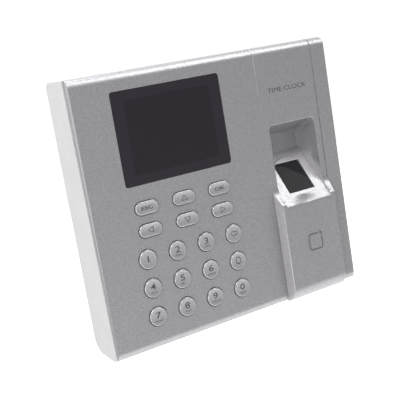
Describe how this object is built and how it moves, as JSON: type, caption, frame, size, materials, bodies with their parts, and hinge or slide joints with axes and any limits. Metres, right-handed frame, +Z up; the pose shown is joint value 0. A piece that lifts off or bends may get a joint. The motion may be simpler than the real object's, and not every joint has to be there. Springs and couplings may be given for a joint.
{
  "type": "attendance time clock",
  "caption": "Wall-mounted time clock with a colour display, phone-style keypad, card reader block and a tilted fingerprint window in a finger recess.",
  "frame": {"origin": "middle of the wall plate's back, on the wall plane", "axes": "+Y points into the wall, so the face looks towards -Y; +Z is up; +X runs to the viewer's right"},
  "size_m": [0.1824, 0.0373, 0.164],
  "materials": {
    "silver_paint": "satin silver paint with a fine metallic sparkle",
    "key_paint": "satin silver paint, smoother than the face",
    "shell_grey": "satin light grey moulding",
    "lens_black": "polished black-backed lens",
    "tape_black": "thin foam tape",
    "panel_black": "display glass, unlit",
    "black_plastic": "moulded black",
    "flex_amber": "flexible circuit film",
    "mat_rubber": "dark silicone rubber",
    "bright_steel": "nickel-plated",
    "socket_shell": "tinned shell",
    "board_green": "green solder mask",
    "reader_glass": "dark polished glass",
    "plate_paint": "galvanised sheet"
  },
  "bodies": {
    "case": {"front_cover": "silver_paint", "sensor_cover": "silver_paint", "rear_cover": "shell_grey", "display_lens": "lens_black", "lens_tape": "tape_black", "lcd_panel": "panel_black", "lcd_frame": "black_plastic", "lcd_flex": "flex_amber", "keypad_mat": "mat_rubber", "snap_domes": "bright_steel", "main_board": "board_green", "board_chips": "black_plastic", "board_screws": "bright_steel", "battery_holder": "black_plastic", "coin_cell": "bright_steel", "network_socket": "socket_shell", "power_socket": "black_plastic", "data_socket": "socket_shell", "sensor_glass": "reader_glass", "sensor_gasket": "mat_rubber", "sensor_housing": "black_plastic", "sensor_board": "board_green", "sensor_cable": "flex_amber", "card_antenna": "board_green", "speaker": "black_plastic", "case_screws": "bright_steel", "column_screws": "bright_steel", "wall_plate": "plate_paint"},
    "button_1": {"key_1": "key_paint"},
    "button_2": {"key_2": "key_paint"},
    "button_3": {"key_3": "key_paint"},
    "button_back": {"key_back": "key_paint"},
    "button_4": {"key_4": "key_paint"},
    "button_5": {"key_5": "key_paint"},
    "button_6": {"key_6": "key_paint"},
    "button_bell": {"key_bell": "key_paint"},
    "button_7": {"key_7": "key_paint"},
    "button_8": {"key_8": "key_paint"},
    "button_9": {"key_9": "key_paint"},
    "button_0": {"key_0": "key_paint"},
    "button_esc": {"key_esc": "key_paint"},
    "button_up": {"key_up": "key_paint"},
    "button_ok": {"key_ok": "key_paint"},
    "button_left": {"key_left": "key_paint"},
    "button_down": {"key_down": "key_paint"},
    "button_right": {"key_right": "key_paint"}
  },
  "joints": [
    {"name": "press_1", "type": "slide", "parent": "case", "child": "button_1", "axis": [0, 1, 0], "range_m": [0, 0.0006], "stiffness_N_per_m": 900},
    {"name": "press_2", "type": "slide", "parent": "case", "child": "button_2", "axis": [0, 1, 0], "range_m": [0, 0.0006], "stiffness_N_per_m": 900},
    {"name": "press_3", "type": "slide", "parent": "case", "child": "button_3", "axis": [0, 1, 0], "range_m": [0, 0.0006], "stiffness_N_per_m": 900},
    {"name": "press_back", "type": "slide", "parent": "case", "child": "button_back", "axis": [0, 1, 0], "range_m": [0, 0.0006], "stiffness_N_per_m": 900},
    {"name": "press_4", "type": "slide", "parent": "case", "child": "button_4", "axis": [0, 1, 0], "range_m": [0, 0.0006], "stiffness_N_per_m": 900},
    {"name": "press_5", "type": "slide", "parent": "case", "child": "button_5", "axis": [0, 1, 0], "range_m": [0, 0.0006], "stiffness_N_per_m": 900},
    {"name": "press_6", "type": "slide", "parent": "case", "child": "button_6", "axis": [0, 1, 0], "range_m": [0, 0.0006], "stiffness_N_per_m": 900},
    {"name": "press_bell", "type": "slide", "parent": "case", "child": "button_bell", "axis": [0, 1, 0], "range_m": [0, 0.0006], "stiffness_N_per_m": 900},
    {"name": "press_7", "type": "slide", "parent": "case", "child": "button_7", "axis": [0, 1, 0], "range_m": [0, 0.0006], "stiffness_N_per_m": 900},
    {"name": "press_8", "type": "slide", "parent": "case", "child": "button_8", "axis": [0, 1, 0], "range_m": [0, 0.0006], "stiffness_N_per_m": 900},
    {"name": "press_9", "type": "slide", "parent": "case", "child": "button_9", "axis": [0, 1, 0], "range_m": [0, 0.0006], "stiffness_N_per_m": 900},
    {"name": "press_0", "type": "slide", "parent": "case", "child": "button_0", "axis": [0, 1, 0], "range_m": [0, 0.0006], "stiffness_N_per_m": 900},
    {"name": "press_esc", "type": "slide", "parent": "case", "child": "button_esc", "axis": [0, 1, 0], "range_m": [0, 0.0006], "stiffness_N_per_m": 900},
    {"name": "press_up", "type": "slide", "parent": "case", "child": "button_up", "axis": [0, 1, 0], "range_m": [0, 0.0006], "stiffness_N_per_m": 900},
    {"name": "press_ok", "type": "slide", "parent": "case", "child": "button_ok", "axis": [0, 1, 0], "range_m": [0, 0.0006], "stiffness_N_per_m": 900},
    {"name": "press_left", "type": "slide", "parent": "case", "child": "button_left", "axis": [0, 1, 0], "range_m": [0, 0.0006], "stiffness_N_per_m": 900},
    {"name": "press_down", "type": "slide", "parent": "case", "child": "button_down", "axis": [0, 1, 0], "range_m": [0, 0.0006], "stiffness_N_per_m": 900},
    {"name": "press_right", "type": "slide", "parent": "case", "child": "button_right", "axis": [0, 1, 0], "range_m": [0, 0.0006], "stiffness_N_per_m": 900}
  ]
}
